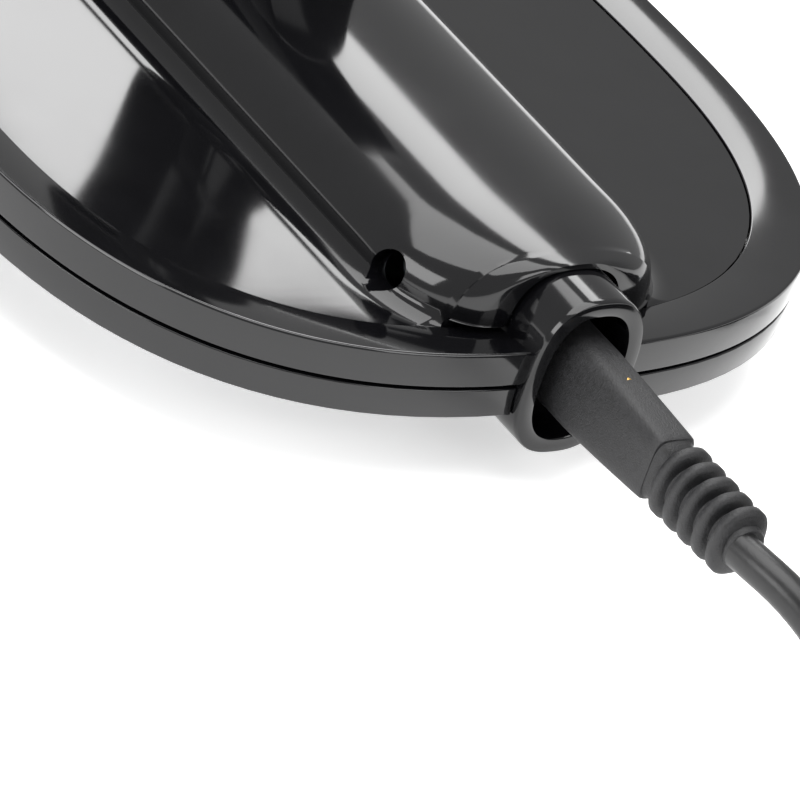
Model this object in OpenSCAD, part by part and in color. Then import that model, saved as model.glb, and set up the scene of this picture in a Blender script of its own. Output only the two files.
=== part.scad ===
// Compact clothes iron with a folding handle and a detachable cord set.
// X runs forwards to the tip, Y to the left, Z up. The origin is on the surface the iron
// stands on, under the middle of the iron. The cord set lies behind the heel.

/* [Overall] */
// Length of the iron from the socket's mouth to the tip
iron_l = 244; // [220:1:280]
// Greatest width of the rim
rim_w = 138; // [120:1:160]
// Distance from the rim's heel to its widest place
heel_l = 70.5; // [60:0.5:80]
// Height of the rim's lower edge above the sole's face
rim_lift = 11.3; // [10:0.1:16]

/* [Rim] */
// Height of the lower band
lower_band_h = 4.7; // [3:0.1:8]
// Height of the upper band
upper_band_h = 5.6; // [4:0.1:9]
// Groove between the two bands
band_gap = 0.5; // [0.3:0.1:1]
// Thickness of the bands' outer walls
band_wall = 2.4; // [1.6:0.1:3]
// Width of the flat ring on top of the upper band
ring_w = 8.3; // [7:0.1:12]
// Thickness of the ring and of the pan's floor
ring_t = 1.9; // [1.4:0.1:2.4]

/* [Sole] */
// How far the sole's edge lies inside the rim
sole_inset = 19; // [17:0.5:24]
// Thickness of the soleplate
sole_t = 8; // [7:0.1:9]
// Radius of the tubular heating element
element_r = 3.2; // [2.6:0.1:3.4]
// Half the distance between the element's two long legs
element_y = 26; // [22:0.5:29]

/* [Body] */
// Half the width of the central ridge
ridge_hw = 23.5; // [21:0.1:26]
// Height of the ridge's crown above the standing surface
ridge_top = 33; // [31.5:0.1:36]
// Thickness of the body shell
shell_t = 2.2; // [1.6:0.1:2.6]
// Radius of the screw recess in each flank
flank_hole_r = 2.9; // [2.4:0.1:3.2]

/* [Socket] */
// Height of the socket's centre above the standing surface
socket_z = 18; // [17:0.1:20]
// Outer width of the collar
collar_w = 18.8; // [17:0.1:21]
// Outer height of the collar
collar_h = 26; // [24:0.1:28]
// Wall of the collar
collar_wall = 2.6; // [2:0.1:3.2]
// Length of the collar tube
collar_l = 18; // [14:0.5:19]
// Radius of the inlet's contact pins
pin_r = 1.2; // [1:0.05:1.4]
// Distance between the two contact pins
pin_pitch = 8.6; // [8:0.1:9]

/* [Connector] */
// Width of the connector
plug_w = 8; // [7:0.1:9]
// Height of the connector at the socket end
plug_h = 13.6; // [12:0.1:14.5]
// Height of the connector at the cord end
plug_tail_h = 10.3; // [9:0.1:12]
// Length of the connector that stands out of the socket
plug_out = 21.7; // [18:0.1:26]
// Length of the connector inside the socket
plug_in = 11.5; // [9:0.1:12]
// Number of ribs on the strain relief
rib_count = 5; // [3:1:7]
// Distance between the ribs
rib_pitch = 3.35; // [3:0.05:4]
// Diameter of the cord
cord_d = 5.6; // [5:0.1:6.5]

/* [Dial] */
// Radius of the temperature dial
dial_r = 17.5; // [14:0.1:18]
// Height of the dial
dial_h = 10; // [8:0.1:10.4]
// Place of the dial's axis along the iron
dial_x = 24; // [20:0.5:28]
// Radius of the dial's shaft
shaft_r = 3; // [2.5:0.1:3.5]

/* [Handle] */
// Outer length of the handle
handle_l = 98; // [94:1:104]
// Height of the handle's top above the standing surface
handle_top = 104; // [100:1:120]
// Width of the grip
grip_w = 26; // [22:0.5:30]
// Height of the pivot axis above the standing surface
pivot_z = 44; // [43:0.5:47]
// Radius of the handle's pivot pins
pivot_r = 3; // [2.5:0.1:3.5]
// Radius of the legs' round lower ends
leg_r = 8; // [7:0.1:8.5]
// Radius of the release button
button_r = 5.5; // [4:0.1:6]
// Travel of the release button
button_travel = 2.5; // [1.5:0.1:3]

/* [Hidden] */

// Clearances
run_gap = 0.06;      // a shaft that turns in its bore
slip_gap = 0.15;     // pieces that are pushed together by hand
part_gap = 0.4;      // pieces that must never touch
thread_bite = 0.1;   // how far a screw's thread cuts into its hole

// Rim outline: a blunt superellipse behind its widest place, a pointed one ahead of it
heel_back = 1.5;     // the rim's heel lies this far ahead of the socket's mouth
heel_exp = 2.6;
tip_exp_x = 2;
tip_exp_y = 1.4;
tip_k = 1.6;         // an inset moves the pointed tip this much more than the sides
sole_tip_k = 0.5;    // the sole reaches further into the tip than that
quarter_n = 24;
back_x = -iron_l / 2;
front_x = iron_l / 2;
wide_x = back_x + heel_back + heel_l;
tip_l = front_x - wide_x;

// Heights
pan_z = rim_lift;
ring_z = pan_z + lower_band_h + band_gap;
rim_top = ring_z + upper_band_h;
deck_z = rim_top - 1.35;
lip_t = deck_z - shell_t - ring_z;
sole_head_h = 2;
shield_z = pan_z + ring_t + sole_head_h;
shield_t = 0.6;

function powc(v, e) = v <= 0 ? 0 : pow(v, e);
function rear_pt(i, a) = [wide_x - (heel_l - i) * powc(cos(a), 2 / heel_exp),
    (rim_w / 2 - i) * powc(sin(a), 2 / heel_exp)];
function tip_pt(i, a, t) = [wide_x + (tip_l - t * i) * powc(cos(a), 2 / tip_exp_x),
    (rim_w / 2 - i) * powc(sin(a), 2 / tip_exp_y)];
function half_outline(i, t) = concat(
    [for (k = [0:quarter_n - 1]) rear_pt(i, 90 * k / quarter_n)],
    [for (k = [0:quarter_n]) tip_pt(i, 90 - 90 * k / quarter_n, t)]);
function outline(i, t = tip_k) = let (h = half_outline(i, t), n = len(h))
    concat([for (k = [0:n - 1]) [h[k][0], -h[k][1]]], [for (k = [n - 2:-1:1]) h[k]]);
// Half width of the outline, inset by i, at the place x
function half_w(i, x) = x < wide_x
    ? (rim_w / 2 - i) * powc(1 - powc((wide_x - x) / (heel_l - i), heel_exp), 1 / heel_exp)
    : (rim_w / 2 - i) * powc(1 - powc((x - wide_x) / (tip_l - tip_k * i), tip_exp_x),
        1 / tip_exp_y);

module sole_slab(i, z0, z1) {
    translate([0, 0, z0]) linear_extrude(z1 - z0) polygon(outline(i, sole_tip_k));
}
module band(i0, i1, z0, z1) {
    translate([0, 0, z0]) linear_extrude(z1 - z0) difference() {
        polygon(outline(i0));
        polygon(outline(i1));
    }
}
// A superellipse standing across the X axis, from x0 to x1
function super_pts(hw, hh, e, n) = [for (k = [0:n - 1]) let (a = 360 * k / n)
    [hw * sign(cos(a)) * powc(abs(cos(a)), 2 / e), hh * sign(sin(a)) * powc(abs(sin(a)), 2 / e)]];
collar_exp = 2.6;
collar_n = 56;
module oval_x(hw, hh, x0, x1) {
    translate([x0, 0, socket_z]) rotate([90, 0, 90]) linear_extrude(x1 - x0)
        polygon(super_pts(hw, hh, collar_exp, collar_n));
}
module rod_x(r, x0, x1, y, z) {
    translate([x0, y, z]) rotate([0, 90, 0]) cylinder(r = r, h = x1 - x0, $fn = 48);
}
module rod_y(r, y0, y1, x, z) {
    translate([x, y1, z]) rotate([90, 0, 0]) cylinder(r = r, h = y1 - y0, $fn = 48);
}
module rod_z(r, z0, z1, x, y) {
    translate([x, y, z0]) cylinder(r = r, h = z1 - z0, $fn = 48);
}
// The slot that the collar passes through
module collar_way() {
    oval_x(collar_w / 2 + slip_gap, collar_h / 2 + slip_gap, back_x - 5, back_x + collar_l + 1);
}

// A round tube swept through points, as one closed solid
function unit(v) = v / norm(v);
function cross_side(d) = abs(d[2]) > 0.9 ? unit(cross(d, [1, 0, 0])) : unit(cross(d, [0, 0, 1]));
function tangent_at(p, k) = unit(p[min(k + 1, len(p) - 1)] - p[max(k - 1, 0)]);
function ring_at(p, k, r, n) = let (d = tangent_at(p, k), s = cross_side(d), u = cross(s, d))
    [for (j = [0:n - 1]) p[k] + r * (cos(360 * j / n) * s + sin(360 * j / n) * u)];
module tube(p, r, n) {
    m = len(p);
    pts = [for (k = [0:m - 1]) for (q = ring_at(p, k, r, n)) q];
    walls = [for (k = [0:m - 2]) for (j = [0:n - 1])
        [k * n + j, k * n + (j + 1) % n, (k + 1) * n + (j + 1) % n, (k + 1) * n + j]];
    caps = [[for (j = [n - 1:-1:0]) j], [for (j = [0:n - 1]) (m - 1) * n + j]];
    polyhedron(pts, concat(walls, caps), convexity = 8);
}
// A smooth curve through points, with a few steps between each pair
function spline_pt(a, b, c, d, t) = 0.5 * (2 * b + (c - a) * t + (2 * a - 5 * b + 4 * c - d) * t * t
    + (3 * b - a - 3 * c + d) * t * t * t);
function smooth(p, s) = concat([for (k = [0:len(p) - 2]) for (j = [0:s - 1])
    spline_pt(p[max(k - 1, 0)], p[k], p[k + 1], p[min(k + 2, len(p) - 1)], j / s)],
    [p[len(p) - 1]]);

// ---------------------------------------------------------------- sole and heating
boss_r = 5;
sole_screw_r = 1.8;
sole_head_r = 3.4;
boss_places = [[84, 0], [-62, 36], [-62, -36]];
window_x0 = -10;
window_x1 = 36;
window_y = 11;
terminal_x = -82;
terminal_y = 12;
turn_r = 10;
rise_r = 6;
element_z = sole_t + element_r;
element_front = 22;

// One side of the element: down from its terminal, out to the side and forwards
arc_n = 5;
element_half = concat(
    [[terminal_x, terminal_y, element_z + rise_r + 3]],
    [for (k = [0:arc_n]) let (a = 180 + 90 * k / arc_n)
        [terminal_x, terminal_y + rise_r + rise_r * cos(a), element_z + rise_r + rise_r * sin(a)]],
    [for (k = [0:arc_n]) let (a = 180 - 90 * k / arc_n)
        [terminal_x + turn_r + turn_r * cos(a), element_y - turn_r + turn_r * sin(a), element_z]]);
element_bow = [for (k = [0:14]) let (a = 90 - 180 * k / 14)
    [element_front + element_y * cos(a), element_y * sin(a), element_z]];
module soleplate() {
    color([0.78, 0.79, 0.8]) difference() {
        union() {
            sole_slab(sole_inset + 1, 0, 1);
            sole_slab(sole_inset, 1, sole_t);
            for (p = boss_places) rod_z(boss_r, sole_t - 1, pan_z, p[0], p[1]);
        }
        for (p = boss_places) rod_z(sole_screw_r - thread_bite, 3, pan_z + 1, p[0], p[1]);
    }
}
module heating_element() {
    n = len(element_half);
    other_half = [for (k = [n - 1:-1:0]) [element_half[k][0], -element_half[k][1], element_half[k][2]]];
    color([0.5, 0.5, 0.52]) tube(concat(element_half, element_bow, other_half), element_r, 10);
}
terminal_z = element_z + rise_r + 3;
module element_terminals() {
    color([0.8, 0.7, 0.4]) for (s = [-1, 1]) {
        rod_z(1.6, terminal_z, terminal_z + 3, terminal_x, s * terminal_y);
        translate([terminal_x - 3, s * terminal_y - 0.4, terminal_z + 3]) cube([6, 0.8, 5]);
    }
}
module heat_shield() {
    color([0.7, 0.7, 0.68]) difference() {
        sole_slab(pan_window + 1, shield_z, shield_z + shield_t);
        translate([window_x0, -window_y, shield_z - 1]) cube([window_x1 - window_x0, 2 * window_y, 2]);
        translate([back_x, -element_y, shield_z - 1]) cube([terminal_x + 8 - back_x, 2 * element_y, 2]);
    }
}
fuse_x = -34;
fuse_y = 12;
fuse_r = 2;
module thermal_fuse() {
    color([0.85, 0.84, 0.8]) rod_x(fuse_r, fuse_x, fuse_x + 12, fuse_y, wire_z);
}

// ---------------------------------------------------------------- thermostat
stack_x = -1;
stack_r = 4;
arm_z = 20;
arm_t = 1.2;
ear_t = 1.2;
ear_y = 5;
lever_x = 9;
lever_z = 14;
lever_pin_r = 1;
lever_t = 1;
shaft_tip = lever_z + lever_t / 2 + 0.1;
module thermostat_frame() {
    color([0.85, 0.82, 0.75]) difference() {
        union() {
            translate([stack_x - 6, -7, sole_t]) cube([26, 14, 1]);
            rod_z(stack_r, sole_t, arm_z, stack_x, 0);
            translate([stack_x, -4, arm_z - arm_t]) cube([dial_x + 5 - stack_x, 8, arm_t]);
            for (s = [0, 1]) mirror([0, s, 0])
                translate([lever_x - 3, ear_y - ear_t, sole_t]) cube([6, ear_t, lever_z + 3 - sole_t]);
        }
        rod_z(shaft_r + run_gap, arm_z - 3, arm_z + 1, dial_x, 0);
        rod_y(lever_pin_r, -8, 8, lever_x, lever_z);
    }
}
module thermostat_pin() {
    color([0.7, 0.7, 0.72]) rod_y(lever_pin_r, -ear_y, ear_y, lever_x, lever_z);
}
module thermostat_lever() {
    color([0.8, 0.65, 0.4]) difference() {
        union() {
            rod_y(2, -3, 3, lever_x, lever_z);
            translate([lever_x, -3, lever_z - lever_t / 2])
                cube([dial_x + 2 - lever_x, 6, lever_t]);
        }
        rod_y(lever_pin_r + run_gap, -4, 4, lever_x, lever_z);
    }
}

// ---------------------------------------------------------------- rim
pan_screw_r = 1.5;
pan_screw_inset = 11;
pan_screw_at = [-88, 40];
pan_window = 28;
module at_pan_screws() {
    for (x = pan_screw_at) for (s = [-1, 1])
        translate([x, s * half_w(pan_screw_inset, x), 0]) children();
}
pin_slot = 2.4;      // half width of the pan's slot for the lower inlet pin
module lower_pan() {
    color([0.06, 0.06, 0.07]) difference() {
        union() {
            band(0, band_wall, pan_z, pan_z + lower_band_h);
            band(band_wall - 0.5, pan_window, pan_z, pan_z + ring_t);
            for (p = boss_places) rod_z(boss_r + 2, pan_z, pan_z + ring_t, p[0], p[1]);
        }
        collar_way();
        translate([back_x + collar_l - 1, -pin_slot, pan_z - 1]) cube([pan_window, 2 * pin_slot, ring_t + 2]);
        for (p = boss_places) rod_z(sole_screw_r + slip_gap, pan_z - 1, pan_z + 4, p[0], p[1]);
        at_pan_screws() rod_z(pan_screw_r + slip_gap, pan_z - 1, pan_z + 4, 0, 0);
    }
}
lip_w = 14;
module rim_ring() {
    color([0.05, 0.05, 0.06]) difference() {
        union() {
            band(0, band_wall, ring_z, rim_top);
            band(band_wall - 0.5, ring_w, rim_top - ring_t, rim_top);
            band(band_wall - 0.5, lip_w, ring_z, ring_z + lip_t);
        }
        collar_way();
        at_pan_screws() rod_z(pan_screw_r - thread_bite, ring_z - 1, rim_top - ring_t, 0, 0);
    }
}

// ---------------------------------------------------------------- body shell
shoulder_l = 18;
shell_back = back_x + 8;
deck_back = back_x + heel_back + ring_w + 1.2;
nose_x = front_x - 18;
nose_l = 26;
fillet_r = 5;
ridge_exp = 2.6;
crown_n = 9;
fillet_n = 4;
neck_skin = 1;       // the shell's thickness over the collar
neck_hw = collar_w / 2 + neck_skin;
function smoothstep(t) = let (c = max(0, min(1, t))) c * c * (3 - 2 * c);
function neck_part(x) = powc(max(0, 1 - (x - shell_back) / shoulder_l), 2);
function ridge_half(x) = x < wide_x
    ? neck_hw + (ridge_hw - neck_hw) * powc(1 - neck_part(x), 0.5)
    : min(ridge_hw, max(3, half_w(ring_w, x) - fillet_r - 1));
function crown_z(x) = ridge_top - (ridge_top - socket_z - collar_h / 2 - neck_skin) * neck_part(x)
    - (ridge_top - deck_z - 3) * smoothstep((x - nose_x + nose_l) / nose_l);
// The shell's wall, thinner where the collar passes under it
function wall_at(x) = x > back_x + collar_l + 1 ? shell_t : min(shell_t,
    crown_z(x) - socket_z - collar_h / 2 - slip_gap, ridge_half(x) - collar_w / 2 - slip_gap);
function foot_z(x) = x < deck_back ? rim_top + 0.05 : deck_z;
function edge_half(x) = x < deck_back ? ridge_half(x) + 0.6 : half_w(ring_w + slip_gap, x);
// One half of the cross-section, from the crown out to the deck's edge, drawn in by t
function section_half(x, t) = let (a = ridge_half(x) - t, z0 = foot_z(x) - (x < deck_back ? -0.15 * t : t),
        h = crown_z(x) - t - z0,
        w = edge_half(x) - (x < deck_back ? t : 0), f = min(fillet_r, h / 3, w - a))
    concat([for (k = [0:crown_n]) let (q = 90 - 78 * k / crown_n)
            [a * powc(cos(q), 2 / ridge_exp), z0 + h * powc(sin(q), 2 / ridge_exp)]],
        [for (k = [1:fillet_n]) let (q = 90 * k / fillet_n)
            [a + f * (1 - cos(q)) * 0.85, z0 + f * 0.5 * (1 - sin(q))]],
        [[w, z0]]);
function section(x, t) = let (h = section_half(x, t), n = len(h))
    concat([for (k = [n - 1:-1:1]) [x, -h[k][0], h[k][1]]], [for (k = [0:n - 1]) [x, h[k][0], h[k][1]]]);
shell_xs = concat([shell_back, shell_back + 1.1, deck_back - 0.1, deck_back + 0.1],
    [for (k = [1:6]) deck_back + 2.4 * k], [for (k = [1:10]) deck_back + 14.4 + 13.2 * k],
    [for (k = [1:6]) deck_back + 146.4 + 11.6 * k]);
module shell_solid() {
    xs = shell_xs;
    m = len(xs);
    w = 2 * (crown_n + fillet_n + 2) - 1;
    pts = concat([for (x = xs) for (p = section(x, 0)) p], [for (x = xs) for (p = section(x, wall_at(x))) p]);
    o = m * w;
    top = [for (i = [0:m - 2]) for (j = [0:w - 2]) let (p = i * w + j) each [
        [p, p + w + 1, p + w], [p, p + 1, p + w + 1]]];
    low = [for (f = top) [o + f[0], o + f[2], o + f[1]]];
    sides = [for (i = [0:m - 2]) each [
        [i * w, o + (i + 1) * w, o + i * w], [i * w, (i + 1) * w, o + (i + 1) * w],
        [i * w + w - 1, o + (i + 1) * w + w - 1, (i + 1) * w + w - 1],
        [i * w + w - 1, o + i * w + w - 1, o + (i + 1) * w + w - 1]]];
    e = (m - 1) * w;
    ends = [for (j = [0:w - 2]) each [
        [j, o + j + 1, j + 1], [j, o + j, o + j + 1],
        [e + j, e + j + 1, o + e + j + 1], [e + j, o + e + j + 1, o + e + j]]];
    polyhedron(pts, concat(ends, sides, low, top), convexity = 10);
}
flank_x = back_x + 21;
flank_z = socket_z + 6;
housing_r = dial_r + 2.5;
housing_top = ridge_top + 1.4;
lens_x = -8;
lens_r = 4;
handle_x0 = -34;
post_gap = 0.5;
rear_post_l = 8;
front_post_l = 22;
post_hw = 9;
rear_post_x = handle_x0 - post_gap - rear_post_l;
front_post_x = handle_x0 + handle_l + post_gap;
flank_boss_r = 3.6;
flank_seat_y = 16;
module flank_sides() {
    for (s = [0, 1]) mirror([0, s, 0]) children();
}
module body_shell() {
    color([0.04, 0.04, 0.05]) difference() {
        shell_solid();
        rod_z(housing_r + slip_gap, deck_z, ridge_top + 9, dial_x, 0);
        rod_z(lens_r + slip_gap, deck_z, ridge_top + 9, lens_x, 0);
        flank_sides() rod_y(flank_hole_r, flank_seat_y, ridge_hw + 9, flank_x, flank_z);
        translate([rear_post_x - slip_gap, -post_hw - slip_gap, deck_z])
            cube([rear_post_l + 2 * slip_gap, 2 * (post_hw + slip_gap), 20]);
        translate([front_post_x - slip_gap, -post_hw - slip_gap, deck_z])
            cube([front_post_l + 2 * slip_gap, 2 * (post_hw + slip_gap), 20]);
    }
}

// ---------------------------------------------------------------- socket
holder_x = back_x + 12;
holder_l = 9;
module inlet_collar() {
    color([0.04, 0.04, 0.05]) difference() {
        oval_x(collar_w / 2, collar_h / 2, back_x, back_x + collar_l);
        oval_x(collar_w / 2 - collar_wall, collar_h / 2 - collar_wall, back_x - 1, back_x + collar_l + 1);
    }
}
module inlet_holder() {
    color([0.12, 0.12, 0.13]) difference() {
        union() {
            oval_x(collar_w / 2 - collar_wall - slip_gap, collar_h / 2 - collar_wall - slip_gap,
                holder_x, back_x + collar_l + 1);
            translate([back_x + collar_l + 0.2, -12, socket_z - 4]) cube([holder_l, 24, 14]);
            flank_sides() rod_y(flank_boss_r, 11, flank_seat_y, flank_x, flank_z);
        }
        for (s = [-1, 1]) rod_x(pin_r, back_x, back_x + 60, 0, socket_z + s * pin_pitch / 2);
        flank_sides() rod_y(sole_screw_r - thread_bite, 6, flank_seat_y + 1, flank_x, flank_z);
    }
}
module inlet_pins() {
    color([0.85, 0.75, 0.45]) for (s = [-1, 1])
        rod_x(pin_r, back_x + 4, back_x + collar_l + holder_l + 5, 0, socket_z + s * pin_pitch / 2);
}
wire_r = 1.1;
lamp_r = 2.6;
lamp_z = 22;
floor_z = shield_z + shield_t;
wire_z = floor_z + 2.5;
block_x = -66;
block_l = 12;
block_hw = 13;
block_h = 7;
module terminal_block() {
    color([0.9, 0.88, 0.84]) difference() {
        translate([block_x, -block_hw, floor_z]) cube([block_l, 2 * block_hw, block_h]);
        for (y = [-8, 0, 8]) rod_x(wire_r, block_x - 1, block_x + block_l + 1, y, wire_z);
    }
}
module lead_wires() {
    pin_x = back_x + collar_l + holder_l + 5;
    color([0.75, 0.72, 0.68]) {
        tube(smooth([[pin_x, 0, socket_z + pin_pitch / 2], [pin_x + 6, 3, socket_z + 4],
            [pin_x + 16, 6, socket_z], [block_x - 4, 8, wire_z], [block_x, 8, wire_z]], 3), wire_r, 8);
        tube(smooth([[pin_x, 0, socket_z - pin_pitch / 2], [pin_x + 4, 2.4, socket_z - 3],
            [pin_x + 12, 3.2, wire_z - 0.6], [block_x - 6, -3, wire_z], [block_x - 3, -7, wire_z],
            [block_x, -8, wire_z]], 3), wire_r, 8);
        tube(smooth([[block_x + block_l, 8, wire_z], [block_x + 20, 11, wire_z],
            [fuse_x - 4, fuse_y, wire_z], [fuse_x, fuse_y, wire_z]], 3), wire_r, 8);
        tube(smooth([[block_x + block_l, 0, wire_z], [block_x + 22, 0, wire_z + 2],
            [lens_x - 16, 0, lamp_z], [lens_x - lamp_r + 0.3, 0, lamp_z + 2]], 3), wire_r, 8);
    }
}
module pilot_lamp() {
    color([1, 0.6, 0.3]) {
        rod_z(lamp_r, lamp_z, lamp_z + 6, lens_x, 0);
        translate([lens_x, 0, lamp_z + 6]) sphere(r = lamp_r, $fn = 32);
    }
}
module lamp_lens() {
    color([0.8, 0.1, 0.05]) difference() {
        rod_z(lens_r, ridge_top - 2, ridge_top + 0.8, lens_x, 0);
        rod_z(lens_r - 1.2, ridge_top - 3, ridge_top - 0.6, lens_x, 0);
    }
}

// ---------------------------------------------------------------- dial
module dial_housing() {
    color([0.05, 0.05, 0.06]) difference() {
        rod_z(housing_r, deck_z + 1, housing_top, dial_x, 0);
        rod_z(housing_r - 2, deck_z, housing_top - 3, dial_x, 0);
        rod_z(shaft_r + run_gap, deck_z, housing_top + 1, dial_x, 0);
    }
}
dial_z = housing_top + part_gap;
module temperature_dial() {
    grips = 30;
    color([0.07, 0.07, 0.08]) difference() {
        union() {
            rod_z(dial_r, dial_z, dial_z + 2.4, dial_x, 0);
            rod_z(dial_r - 2, dial_z + 2.4, dial_z + dial_h, dial_x, 0);
        }
        rod_z(shaft_r, dial_z - 1, dial_z + dial_h - 3, dial_x, 0);
        for (k = [0:grips - 1]) translate([dial_x, 0, dial_z + 3.4]) rotate([0, 0, 360 * k / grips])
            translate([dial_r - 1.6, 0, 0]) cylinder(r = 0.8, h = dial_h, $fn = 16);
    }
}
module dial_shaft() {
    color([0.75, 0.75, 0.76]) rod_z(shaft_r, shaft_tip, dial_z + dial_h - 3, dial_x, 0);
}

// ---------------------------------------------------------------- handle
leg_l = 15;
handle_mid = handle_x0 + handle_l / 2;
leg_foot = pivot_z - leg_r;
bush_r = 5;
grip_drop = 17;
loop_floor = 47;
loop_top = handle_top - grip_drop;
module rear_post() {
    color([0.05, 0.05, 0.06]) difference() {
        translate([rear_post_x, 0, 0]) rotate([90, 0, 90]) linear_extrude(rear_post_l) union() {
            translate([-post_hw, deck_z + 5]) square([2 * post_hw, pivot_z - deck_z - 5]);
            translate([0, pivot_z]) circle(r = post_hw, $fn = 64);
        }
        rod_x(pivot_r, rear_post_x + 2, handle_x0, 0, pivot_z);
    }
}
button_x = front_post_x + 12;
button_top = pivot_z + 11;
spring_z = pivot_z - 10;
spring_top = pivot_z;
module front_post() {
    color([0.05, 0.05, 0.06]) difference() {
        translate([0, post_hw, 0]) rotate([90, 0, 0]) linear_extrude(2 * post_hw) polygon([
            [front_post_x, deck_z + 5], [front_post_x + front_post_l, deck_z + 5],
            [front_post_x + front_post_l, ridge_top + 2], [front_post_x + front_post_l - 5, pivot_z + 6],
            [front_post_x + front_post_l - 7, pivot_z + leg_r], [front_post_x + 2, pivot_z + leg_r],
            [front_post_x, pivot_z + leg_r - 2]]);
        rod_x(pivot_r, front_post_x - 1, front_post_x + 6, 0, pivot_z);
        rod_z(button_r + run_gap, spring_z, button_top + 1, button_x, 0);
    }
}
module release_button() {
    color([0.2, 0.2, 0.22]) difference() {
        rod_z(button_r, spring_top, button_top, button_x, 0);
        translate([button_x, 0, button_top + button_r * 2.6]) sphere(r = button_r * 2.7, $fn = 64);
    }
}
spring_r = 3.6;
spring_wire = 0.45;
spring_turns = 5;
module release_spring() {
    h = spring_top - spring_z - 2 * spring_wire;
    color([0.7, 0.7, 0.72]) tube([for (k = [0:12 * spring_turns]) let (a = 30 * k)
        [button_x + spring_r * cos(a), spring_r * sin(a),
        spring_z + spring_wire + h * k / (12 * spring_turns)]], spring_wire, 6);
}
module pivot_pins() {
    color([0.75, 0.75, 0.77]) {
        rod_x(pivot_r, rear_post_x + 2, handle_x0 + leg_l - 1, 0, pivot_z);
        rod_x(pivot_r, handle_x0 + handle_l - leg_l + 1, front_post_x + 6, 0, pivot_z);
    }
}
module pivot_bushes() {
    color([0.8, 0.65, 0.4]) difference() {
        union() {
            rod_x(bush_r, handle_x0, handle_x0 + leg_l, 0, pivot_z);
            rod_x(bush_r, handle_x0 + handle_l - leg_l, handle_x0 + handle_l, 0, pivot_z);
        }
        rod_x(pivot_r + run_gap, handle_x0 - 1, handle_x0 + leg_l + 1, 0, pivot_z);
        rod_x(pivot_r + run_gap, handle_x0 + handle_l - leg_l - 1, handle_x0 + handle_l + 1, 0, pivot_z);
    }
}
grip_exp = 3.4;
module handle_side() {
    translate([0, grip_w, 0]) rotate([90, 0, 0]) linear_extrude(2 * grip_w) difference() {
        union() {
            translate([handle_mid, (handle_top + pivot_z) / 2 + 4])
                polygon(super_pts(handle_l / 2, (handle_top - pivot_z) / 2 - 4, grip_exp, 96));
            translate([handle_x0, leg_foot]) square([handle_l, pivot_z + 30 - leg_foot]);
        }
        translate([handle_mid, (loop_top + loop_floor) / 2])
            polygon(super_pts(handle_l / 2 - leg_l, (loop_top - loop_floor) / 2, grip_exp, 96));
        translate([handle_x0 + leg_l, leg_foot - 1])
            square([handle_l - 2 * leg_l, (loop_top + loop_floor) / 2 - leg_foot + 1]);
    }
}
module handle_front() {
    g = grip_w / 2;
    translate([handle_x0 - 1, 0, 0]) rotate([90, 0, 90]) linear_extrude(handle_l + 2) union() {
        translate([0, pivot_z]) circle(r = leg_r, $fn = 64);
        polygon([[-leg_r, pivot_z], [leg_r, pivot_z], [leg_r + 1, pivot_z + 14], [g - 1, pivot_z + 26],
            [g, pivot_z + 32], [g, handle_top - 8], [g - 3, handle_top - 2], [g - 8, handle_top],
            [8 - g, handle_top], [3 - g, handle_top - 2], [-g, handle_top - 8], [-g, pivot_z + 32],
            [1 - g, pivot_z + 26], [-leg_r - 1, pivot_z + 14]]);
    }
}
insert_hl = 34;
insert_hw = 8;
insert_t = 3;
module insert_zone(gap) {
    translate([handle_mid - insert_hl - gap, -insert_hw - gap, handle_top - insert_t - gap])
        cube([2 * (insert_hl + gap), 2 * (insert_hw + gap), insert_t + 5]);
}
handle_screw_r = 1.5;
handle_screw_at = [[handle_x0 + 8, pivot_z + 22], [handle_x0 + handle_l - 8, pivot_z + 22],
    [handle_mid, handle_top - 10]];
module handle_solid() {
    difference() {
        intersection() {
            handle_side();
            handle_front();
        }
        insert_zone(0.05);
        rod_x(bush_r, handle_x0 - 1, handle_x0 + leg_l + 1, 0, pivot_z);
        rod_x(bush_r, handle_x0 + handle_l - leg_l - 1, handle_x0 + handle_l + 1, 0, pivot_z);
        for (p = handle_screw_at) {
            rod_y(handle_screw_r + slip_gap, -grip_w, 0, p[0], p[1]);
            rod_y(handle_screw_r - thread_bite, -1, 6, p[0], p[1]);
            rod_y(3.2, -grip_w, -5.5, p[0], p[1]);
        }
    }
}
module handle_half(s) {
    intersection() {
        handle_solid();
        translate([handle_x0 - 5, s > 0 ? 0.03 : -grip_w, 0]) cube([handle_l + 10, grip_w - 0.03, 200]);
    }
}
module handle_left() {
    color([0.05, 0.05, 0.06]) handle_half(1);
}
module handle_right() {
    color([0.05, 0.05, 0.06]) handle_half(-1);
}
module grip_insert() {
    color([0.16, 0.16, 0.17]) intersection() {
        handle_side();
        handle_front();
        insert_zone(0);
    }
}

// ---------------------------------------------------------------- fasteners
module sole_screws() {
    color([0.7, 0.7, 0.72]) for (p = boss_places) {
        rod_z(sole_screw_r, 4, pan_z + ring_t, p[0], p[1]);
        rod_z(sole_head_r, pan_z + ring_t, shield_z, p[0], p[1]);
    }
}
module pan_screws() {
    color([0.5, 0.5, 0.52]) at_pan_screws() {
        rod_z(pan_screw_r, pan_z, ring_z + lip_t - 0.1, 0, 0);
        rod_z(2.8, pan_z - 1.4, pan_z, 0, 0);
    }
}
module flank_screws() {
    color([0.3, 0.3, 0.32]) flank_sides() {
        rod_y(sole_screw_r, 7, flank_seat_y, flank_x, flank_z);
        rod_y(flank_hole_r - 0.3, flank_seat_y, flank_seat_y + 1.8, flank_x, flank_z);
    }
}
module handle_screws() {
    color([0.5, 0.5, 0.52]) for (p = handle_screw_at) {
        rod_y(handle_screw_r, -5.5, 5, p[0], p[1]);
        rod_y(2.9, -7.5, -5.5, p[0], p[1]);
    }
}

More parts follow.
